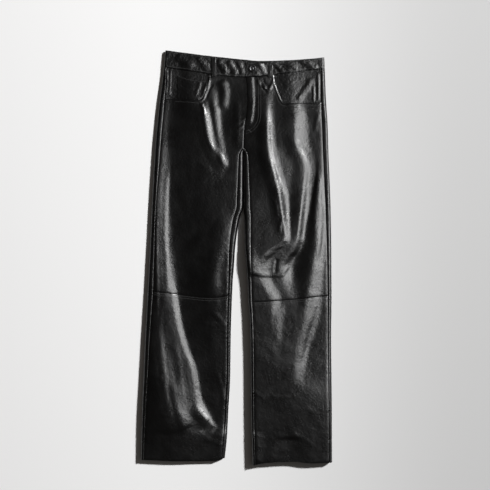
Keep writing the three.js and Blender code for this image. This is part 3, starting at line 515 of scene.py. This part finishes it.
UPPER_ROWS = np.unique(np.concatenate([spaced(WAIST_Y, CROTCH_Y), spaced(CROTCH_Y, KNEE_Y)]))[::-1]
LOWER_ROWS = spaced(KNEE_Y, HEM_Y)
POCKET_ROWS = spaced(WAIST_Y, 372)
FRONT_SHARES = spaced(0, 200) / 200


def row_y(leg, row, x):
    """Moves a row up or down so that the first and last rows lie on the panel's seams."""
    waist = (waist_seam(x) - GAP - WAIST_Y) * smooth((row - YOKE_Y) / (WAIST_Y - YOKE_Y))
    knee = (leg["knee"](x) - KNEE_Y) * smooth(1 - np.abs(row - KNEE_Y) / KNEE_REACH)
    hem = (leg["hem"](x) - HEM_Y) * smooth(1 - (row - HEM_Y) / HEM_REACH)
    return row + waist + knee + hem


def knee_gap(rows):
    """Keeps the rows at the knee seam half a gap from it."""
    upper = rows[0] > KNEE_Y
    return np.where(np.abs(rows - KNEE_Y) < 0.01, GAP / 2 if upper else -GAP / 2, 0.0)[:, None]


def front_edge(leg, y):
    lap = (FLY_UNDERLAP + GAP) * np.clip((y - FLY_STOP_Y) / (FLY_LAP_END_Y - FLY_STOP_Y), 0, 1)
    above = centre_front(y) + (GAP / 2 if leg["side"] > 0 else lap - GAP / 2)
    return np.where(y < CROTCH_Y + 0.01, inseam(leg, y) + leg["side"] * GAP / 2, above)


def panel_points(leg, rows):
    """x and y of a front panel's points, from the side seam to the centre."""
    row = np.repeat(rows[:, None], len(FRONT_SHARES), axis=1)
    y = row
    for _ in range(5):
        x = lerp(side_seam(leg, y) - leg["side"] * GAP / 2, front_edge(leg, y), FRONT_SHARES[None, :])
        y = row_y(leg, row, x)
    return x, y + knee_gap(rows)


def wall_at(rows):
    """A panel's thickness at each row, doubled where the hem is turned up."""
    return WALL * (1 + smooth((HEM_Y + HEM_DEPTH - rows) / 3))[:, None]


def front_panel(leg, rows, part, opening=None):
    x, y = panel_points(leg, rows)
    faces = grid_faces(*x.shape, leg["side"] > 0)
    if opening is not None:
        x, y, inside = snapped(x, y, pocket_area(opening, leg["side"], 0))
        faces = faces[~inside.ravel()[faces].any(axis=1)]
    z = front_face(leg, x, y)
    node = f"{leg['name']}_front_{part}"
    under = np.dstack([x, y, z - wall_at(rows)])
    return shell(f"{node}_leather", np.dstack([x, y, z]), under, faces, LEATHER, [node])


QUARTER = np.radians([0, 8, 16, 24, 34, 45, 60, 75, 90])
OVER_EDGE = np.array([1, 0.97, 0.92, 0.84, 0.7, 0.55, 0.42, 0.3, 0.2, 0.12, 0.06, 0.02])
FLOOR_SHARES = np.linspace(0, 1, 10)[1:-1]


def under_roll(edge, side, height):
    """The lower half of the roll at an edge, down to the surface."""
    return [(edge + side * EDGE_RADIUS * (1 - np.cos(a)), height / 2 * (1 - np.sin(a))) for a in QUARTER]


def over_roll(leg, edge, side, inset, y):
    """The upper half, from a seam out to the edge."""
    points = []
    for share in OVER_EDGE:
        x = edge + side * inset * share
        drop = rounded_edge(inset * (1 - share)) + SEAM_DIP * (1 - smooth(inset * (1 - share) / SEAM_REACH))
        points.append((x, top_face(x, y) + creases(leg, x, y) - drop * share))
    return points


def inner_part(leg, y):
    """A back panel's section beside the inseam, or above the crotch beside the centre back seam."""
    side = leg["side"]
    edge = leg["inner"](y)
    wrapped = over_roll(leg, edge, side, inseam_inset(y) - GAP / 2, y)
    wrapped += under_roll(edge, side, leg["in_loft"](y))
    edge = CENTRE_BACK_X + side * GAP / 2 + 0 * y
    height = back_seam_rise(y)
    risen = [(edge, height / 2 * (1 + share)) for share in OVER_EDGE] + under_roll(edge, side, height)
    section = []
    for i, ((wrapped_x, wrapped_z), (risen_x, risen_z)) in enumerate(zip(wrapped, risen)):
        flat = edge + side * EDGE_RADIUS * i / (len(risen) - 1)
        risen_x = lerp(flat, risen_x, np.clip(height / 8, 0, 1))
        below = y < CROTCH_Y
        section.append((np.where(below, wrapped_x, risen_x), np.where(below, wrapped_z, risen_z)))
    return section


def back_panel(leg, rows, part):
    side = leg["side"]
    own = row_y(leg, rows, side_seam(leg, rows))
    inner = inner_part(leg, own)
    reach = leg["out"](own) - side * EDGE_RADIUS
    floor = [(lerp(inner[-1][0], reach, share), 0 * own) for share in FLOOR_SHARES]
    under = under_roll(leg["out"](own), -side, leg["out_loft"](own))[::-1]
    over = over_roll(leg, leg["out"](own), -side, leg["inset"](own) - GAP / 2, own)[::-1]
    line = [*inner, *floor, *under, *over]
    x = np.column_stack([p[0] for p in line])
    z = np.column_stack([p[1] for p in line])
    dx, dz = np.gradient(x, axis=1), np.gradient(z, axis=1)
    scale = wall_at(rows) / np.hypot(dx, dz)
    y = row_y(leg, rows[:, None], x) + knee_gap(rows)
    inside = np.dstack([x - side * scale * dz, y, z + side * scale * dx])
    faces = grid_faces(*x.shape, side < 0)
    node = f"{leg['name']}_back_{part}"
    return shell(f"{node}_leather", np.dstack([x, y, z]), inside, faces, LEATHER, [node])


# Pockets


def pocket_area(opening, side, grow):
    """The outline of a pocket opening, grown by a distance and closed above the waist and past the side."""
    moved = []
    for i, (x, y) in enumerate(opening):
        (ax, ay), (bx, by) = opening[max(0, i - 1)], opening[min(len(opening) - 1, i + 1)]
        length = np.hypot(bx - ax, by - ay)
        moved.append((x + side * grow * (by - ay) / length, y - side * grow * (bx - ax) / length))
    past = moved[-1][0] + side * 20
    return [(moved[0][0], 520), *moved, (past, moved[-1][1]), (past, 520)]


def inside_shell(leg, area, depth, wall, name, node):
    """A piece seen through a pocket opening, cut to an area."""
    x, y = panel_points(leg, POCKET_ROWS)
    faces = grid_faces(*x.shape, leg["side"] > 0)
    x, y, inside = snapped(x, y, area)
    edge, _, _ = along_path([*area, area[0]], x, y)
    kept = inside | (edge < 0.01)
    faces = faces[kept.ravel()[faces].all(axis=1) & inside.ravel()[faces].any(axis=1)]
    z = under_face(leg, x, y, depth) - rounded_edge(edge, 0.4, 2.0)
    top, under = np.dstack([x, y, z]), np.dstack([x, y, z - wall])
    return shell(name, top, under, faces, FACING, [node])


# Waistband

BAND_LAP, BAND_BLEND, BAND_Y = 30.0, 18.0, 482.0


def band_lap_lift(x):
    past = x - centre_front(BAND_Y) - BAND_LAP
    lap = BAND_LAP_RISE * (1 - np.clip(past / BAND_BLEND, 0, 1))
    return np.where(x < centre_front(BAND_Y), 0.0, lap)


def band_line():
    """x and z of the strip's section, from the buttoned end round to the end under it, and what is back."""
    edge = float(centre_front(BAND_Y))
    left_end = float(at["leftOut"](BAND_Y)) - EDGE_RADIUS
    right_end = float(at["rightOut"](BAND_Y)) + EDGE_RADIUS
    front_x = spaced(edge, left_end, 3.0)
    front_z = top_face(front_x, np.full_like(front_x, BAND_Y)) + BAND_RISE + band_lap_lift(front_x)
    top = float(top_face(np.array([0.0]), np.array([BAND_Y]))[0]) + BAND_RISE
    angles = np.radians(np.linspace(75, -90, 12))
    left_x, left_z = left_end + EDGE_RADIUS * np.cos(angles), top / 2 * (1 + np.sin(angles))
    right_x, right_z = right_end - EDGE_RADIUS * np.cos(angles[::-1]), left_z[::-1]
    floor_x = np.linspace(left_end, right_end, 66)[1:-1]
    under_x = spaced(right_end, edge + BAND_LAP - 1, 3.0)
    under_z = top_face(under_x, np.full_like(under_x, BAND_Y)) + BAND_RISE
    x = np.concatenate([front_x, left_x, floor_x, right_x, under_x])
    z = np.concatenate([front_z, left_z, 0 * floor_x, right_z, under_z])
    raised = int((angles >= 0).sum())
    back = np.zeros(len(x), bool)
    back[len(front_x) + raised : len(x) - len(under_x) - raised] = True
    return x, z, back


def leaned(x, y):
    """The strip leans with the garment's side edges."""
    right = x < CENTRE_BACK_X
    edge = np.where(right, at["rightOut"](y), at["leftOut"](y))
    edge_there = np.where(right, at["rightOut"](BAND_Y), at["leftOut"](BAND_Y))
    return x + (x - CENTRE_BACK_X) / (edge_there - CENTRE_BACK_X) * (edge - edge_there)


def band_dip(y, low, high):
    """The band's rounded edges, and the grooves under its two lines of sewing."""
    edge = np.minimum(y - low, high - y)
    return rounded_edge(edge, 0.9, 3.5) + GROOVE_DEPTH * hump(edge - BAND_SEWING, 1.4)


def waistband():
    x, z, back = band_line()
    dx, dz = np.gradient(x), np.gradient(z)
    out_x, out_z = -dz / np.hypot(dx, dz), dx / np.hypot(dx, dz)
    shares = spaced(0, 38)[:, None] / 38
    low, high = waist_seam(x), np.where(back, back_top(x), front_top(x))
    y = lerp(low, high, shares)
    xs = leaned(x[None, :], y)
    fine = np.where(back, 0.0, summed(BAND_CREASES, xs, y)) - np.where(z > 1, band_dip(y, low, high), 0.0)
    top = np.dstack([xs + out_x * fine, y, z + out_z * fine])
    under = np.dstack([xs - out_x * BAND_WALL, y, z - out_z * BAND_WALL + 0 * y])
    faces = grid_faces(*y.shape, False)
    return shell("waistband_leather", top, under, faces, BAND, ["waistband"])


def band_face(x, y):
    z = top_face(x, np.full_like(x, BAND_Y)) + BAND_RISE + band_lap_lift(x) + summed(BAND_CREASES, x, y)
    return z - band_dip(y, waist_seam(x), front_top(x))


# Belt loops and button

LOOP = {"width": 12.0, "thickness": 1.6, "over": 6.0, "bow": 1.8}
LOOP_X = {"right": -58.0, "left": 87.0}


def belt_loop(name, x):
    low, high = float(waist_seam(x)) - LOOP["over"], float(front_top(x)) - 1.5
    half = LOOP["width"] / 2
    y, sideways = np.meshgrid(spaced(low, high, 1.5), spaced(-half, half, 1.5), indexing="ij")
    edge = np.minimum(half - np.abs(sideways), np.minimum(y - low, high - y))
    flat = top_face(x + sideways, y) + BAND_RISE + band_lap_lift(x + sideways)
    bow = LOOP["bow"] * np.sin(np.pi * (high - y) / (high - low))
    groove = GROOVE_DEPTH * hump(edge - LOOP_SEWING, 0.9)
    z = flat + GAP + bow + LOOP["thickness"] - rounded_edge(edge, 0.6, 1.6) - groove
    top = np.dstack([x + sideways, y, z])
    under = np.dstack([x + sideways, y, flat + GAP + bow + 0.1])
    faces = grid_faces(*y.shape, True)
    node = f"{name}_belt_loop"
    return shell(f"{node}_leather", top, under, faces, LEATHER, [node])


BUTTON_X, BUTTON_Y = 41.5, 483.0
BUTTON_PROFILE = [
    (0, 0), (6.6, 0), (7.8, 0.4), (8.4, 1.0), (8.5, 1.8), (8.3, 2.5), (7.8, 2.95), (7.2, 3.0), (6.6, 2.8),
    (6.1, 2.3), (5.6, 1.95), (4.6, 1.8), (2.4, 1.9), (1.8, 2.25), (1.2, 2.4), (0, 2.45),
]


def button():
    base = float(band_face(np.array([BUTTON_X]), np.array([BUTTON_Y]))[0]) + GAP
    turns = np.radians(np.arange(0, 360, 6))
    rings = np.array([[(r * np.cos(a), r * np.sin(a), z) for a in turns] for r, z in BUTTON_PROFILE])
    points = rings.reshape(-1, 3) + (BUTTON_X, BUTTON_Y, base)
    index = np.arange(len(points)).reshape(len(BUTTON_PROFILE), len(turns))
    after = np.roll(index, -1, axis=1)
    quads = np.dstack([index[:-1], after[:-1], after[1:], index[1:]]).reshape(-1, 4)
    return placed("waist_button_metal", points, quads, METAL, ["waist_button"])


# Sewing


def resampled(path, pitch):
    """Points along a path at an even pitch, with their directions."""
    line = np.array(rounded(path), float)
    reach = np.concatenate([[0], np.cumsum(np.hypot(*np.diff(line, axis=0).T))])

    def point(along):
        return np.array([np.interp(along, reach, line[:, 0]), np.interp(along, reach, line[:, 1])])

    along = np.arange(pitch / 2, reach[-1], pitch)
    ahead = point(along + 0.5) - point(along - 0.5)
    return point(along), ahead / np.hypot(*ahead)


def offset(path, distance):
    """A path moved sideways, to the wearer's left of a downward path."""
    out = []
    for i, (x, y) in enumerate(path):
        (ax, ay), (bx, by) = path[max(0, i - 1)], path[min(len(path) - 1, i + 1)]
        length = np.hypot(bx - ax, by - ay)
        out.append((x - distance * (by - ay) / length, y + distance * (bx - ax) / length))
    return out


def thread(name, lines, stitch, turned=False):
    """Stitches along lines, each a rounded bar half sunk in the surface. A line is a path and a surface."""
    ring = np.radians([0, 60, 120, 180, 240, 300])[None, :]
    u = np.array([-0.5, -0.36, 0.36, 0.5])[:, None] * stitch["length"] + 0 * ring
    swell = np.array([0.4, 1, 1, 0.4])[:, None]
    v, w = swell * np.cos(ring) * stitch["width"], swell * np.sin(ring) * THREAD_HEIGHT
    index = np.arange(24).reshape(4, 6)
    after = np.roll(index, -1, axis=1)
    tube = np.dstack([index[:-1], after[:-1], after[1:], index[1:]]).reshape(-1, 4)
    bar = np.vstack([tube, [[0, 3, 2, 1], [0, 5, 4, 3], [18, 19, 20, 21], [18, 21, 22, 23]]])
    points, quads, count = [], [], 0
    for path, surface in lines:
        (x, y), (dx, dy) = (part[:, :, None, None] for part in resampled(path, stitch["pitch"]))
        if turned:
            dx, dy = -dy, dx
        px, py = x + u * dx - v * dy, y + u * dy + v * dx
        points.append(np.stack([px, py, surface(px, py) + w], axis=-1).reshape(-1, 3))
        quads.append((count + np.arange(len(x))[:, None, None] * 24 + bar).reshape(-1, 4))
        count += len(points[-1])
    return placed(name, np.vstack(points), np.vstack(quads), THREAD)


def on_front(leg):
    return lambda x, y: front_face(leg, x, y)


def beside_knee(leg, distance):
    """A path beside a knee seam, from the side seam to the inseam."""
    y = leg["knee"](leg["inner"](KNEE_Y))
    xs = lerp(side_seam(leg, y), front_edge(leg, y), np.linspace(0.02, 0.98, 12))
    return [(float(x), float(leg["knee"](x)) + distance) for x in xs]


def along_band(line, start, end, distance):
    return [(float(x), float(line(x)) + distance) for x in np.linspace(start, end, 30)]


def sew():
    """All the topstitching that shows."""
    lines = [(offset(FLY_SEWING, d), on_front(LEFT)) for d in (-3, 3)]
    lines.append((offset(RIGHT_OPENING[:-1], POCKET_SEWING), on_front(RIGHT)))
    lines.append((offset([*LEFT_OPENING[:-1], (208, 397)], -POCKET_SEWING), on_front(LEFT)))
    lines += [(beside_knee(leg, d), on_front(leg)) for leg in (RIGHT, LEFT) for d in (-3, -8)]
    lines.append((offset(COIN_OUTLINE[:4], -3.5), lambda x, y: under_face(RIGHT, x, y, COIN_DEPTH)))
    for start, end in ((-178, 22), (28, 218)):
        lines.append((along_band(waist_seam, start, end, BAND_SEWING), band_face))
        lines.append((along_band(front_top, start, end, -BAND_SEWING), band_face))
    thread("topstitching", lines, TOP_STITCH)
    tacks = [
        ([(30, 327), (38, 320)], on_front(LEFT)),
        ([(-64, 465), (-72, 463)], on_front(RIGHT)),
        ([(104, 463), (97, 461)], on_front(LEFT)),
    ]
    thread("bar_tacks", tacks, TACK_STITCH, turned=True)


# Finishes


def finish(name, colour, roughness, metallic=0.0):
    material = bpy.data.materials.new(name)
    material.use_nodes = True
    shader = material.node_tree.nodes["Principled BSDF"]
    shader.inputs["Base Color"].default_value = (*colour, 1)
    shader.inputs["Roughness"].default_value = roughness
    shader.inputs["Metallic"].default_value = metallic
    return material, material.node_tree, shader


def noise(tree, where, scale, detail, kind="ShaderNodeTexNoise"):
    texture = tree.nodes.new(kind)
    texture.inputs["Scale"].default_value = scale
    texture.inputs["Detail"].default_value = detail
    tree.links.new(where.outputs["Object"], texture.inputs["Vector"])
    return texture.outputs[0]


def bumped(tree, height, distance, before=None):
    bump = tree.nodes.new("ShaderNodeBump")
    bump.inputs["Distance"].default_value = distance
    tree.links.new(height, bump.inputs["Height"])
    if before is not None:
        tree.links.new(before, bump.inputs["Normal"])
    return bump.outputs["Normal"]


BLACK = (0.0009, 0.0009, 0.001)
LEATHER_IOR = 1.45
GRAIN_DEPTH = 0.00005


def leather(name, roughness, mottle):
    """Smooth finished leather: pebbled grain, a slow unevenness, and patches of duller polish."""
    material, tree, shader = finish(name, BLACK, roughness)
    where = tree.nodes.new("ShaderNodeTexCoord")
    slow = bumped(tree, noise(tree, where, 45, 3), mottle)
    middle = bumped(tree, noise(tree, where, 190, 4), mottle * 0.45, slow)
    grain = bumped(tree, noise(tree, where, 900, 2, "ShaderNodeTexVoronoi"), GRAIN_DEPTH, middle)
    tree.links.new(grain, shader.inputs["Normal"])
    polish = tree.nodes.new("ShaderNodeMapRange")
    polish.inputs["From Min"].default_value, polish.inputs["From Max"].default_value = 0.3, 0.7
    polish.inputs["To Min"].default_value = roughness - 0.03
    polish.inputs["To Max"].default_value = roughness + 0.05
    tree.links.new(noise(tree, where, 24, 5), polish.inputs["Value"])
    tree.links.new(polish.outputs["Result"], shader.inputs["Roughness"])
    shader.inputs["IOR"].default_value = LEATHER_IOR
    return material


def pale_floor_painted_shade():
    """Matt and pale, with painted shade: its colour grows a little darker towards +X, standing in for the
    light falling off there.
    """
    material, tree, shader = finish("pale_floor_painted_shade", (0.8, 0.8, 0.8), roughness=0.9)
    where = tree.nodes.new("ShaderNodeTexCoord")
    parts = tree.nodes.new("ShaderNodeSeparateXYZ")
    tree.links.new(where.outputs["Object"], parts.inputs["Vector"])
    # painted shade: the base colour falls from 0.82 to 0.46 towards +X in place of the light's falloff
    painted_shade = tree.nodes.new("ShaderNodeMapRange")
    painted_shade.interpolation_type = "SMOOTHSTEP"
    for name, value in (("From Min", -0.3), ("From Max", 0.7), ("To Min", 0.82), ("To Max", 0.46)):
        painted_shade.inputs[name].default_value = value
    tree.links.new(parts.outputs["X"], painted_shade.inputs["Value"])
    tree.links.new(painted_shade.outputs["Result"], shader.inputs["Base Color"])
    return material


LEATHER = leather("black_leather", roughness=0.28, mottle=0.0008)
BAND = leather("waistband_black_leather", roughness=0.3, mottle=0.0022)
FACING = leather("facing_black_leather", roughness=0.3, mottle=0.0016)
THREAD = finish("black_thread", (0.012, 0.012, 0.012), 0.6)[0]
METAL = finish("black_metal", (0.05, 0.05, 0.052), 0.3, 1.0)[0]


def dress():
    for leg in (RIGHT, LEFT):
        name, opening = leg["name"], OPENINGS[leg["name"]]
        for part, rows in (("upper", UPPER_ROWS), ("lower", LOWER_ROWS)):
            back_panel(leg, rows, part)
            front = front_panel(leg, rows, part, opening if part == "upper" else None)
        node = f"{name}_pocket_facing"
        area = pocket_area(opening, leg["side"], FACING_LAP)
        facing = inside_shell(leg, area, SOLID_WALL + GAP, FACING_WALL, f"{node}_leather", node)
    coin = inside_shell(RIGHT, COIN_OUTLINE, COIN_DEPTH, COIN_WALL, "coin_pocket_leather", "coin_pocket")
    waistband()
    for name, x in LOOP_X.items():
        belt_loop(name, x)
    button()
    sew()


dress()

# Floor, lights and camera, in metres

FLOOR_REACH = 6.0
LENS, SENSOR = 85, 36
VIEW_CENTRE, VIEW_WIDTH, VIEW_PLANE = (0.0219, 0.032), 1.2544, 0.010


def area_light(name, azimuth, elevation, distance, size, power):
    """A square light facing the garment, at a bearing from +X and a height over the floor in degrees."""
    light = bpy.data.lights.new(name, "AREA")
    light.energy, light.size = power, size
    lamp = bpy.data.objects.new(name, light)
    a, e = np.radians(azimuth), np.radians(elevation)
    towards = Vector((np.cos(a) * np.cos(e), np.sin(a) * np.cos(e), np.sin(e)))
    lamp.location = towards * distance
    lamp.rotation_mode = "QUATERNION"
    lamp.rotation_quaternion = towards.to_track_quat("Z", "Y")
    bpy.context.scene.collection.objects.link(lamp)
    return lamp


floor_mesh = bpy.data.meshes.new("floor")
corners = [(-FLOOR_REACH, -FLOOR_REACH, 0), (FLOOR_REACH, -FLOOR_REACH, 0), (FLOOR_REACH, FLOOR_REACH, 0),
           (-FLOOR_REACH, FLOOR_REACH, 0)]
floor_mesh.from_pydata(corners, [], [(0, 1, 2, 3)])
floor_mesh.materials.append(pale_floor_painted_shade())
floor = bpy.data.objects.new("floor", floor_mesh)
bpy.context.scene.collection.objects.link(floor)

area_light("key", azimuth=33, elevation=40, distance=9.0, size=0.72, power=1330)
polish_light = area_light("polish_light", azimuth=8, elevation=58, distance=4.0, size=1.5, power=115)
polish_light.visible_diffuse = False
world = bpy.data.worlds.new("studio")
bpy.context.scene.world = world
world.use_nodes = True
world.node_tree.nodes["Background"].inputs["Color"].default_value = (0.055, 0.050, 0.045, 1)
bpy.context.scene.view_settings.view_transform = "Standard"

camera = bpy.data.objects.new("camera", bpy.data.cameras.new("camera"))
camera.data.lens = LENS
camera.location = (*VIEW_CENTRE, VIEW_PLANE + VIEW_WIDTH * LENS / SENSOR)
bpy.context.scene.collection.objects.link(camera)
bpy.context.scene.camera = camera
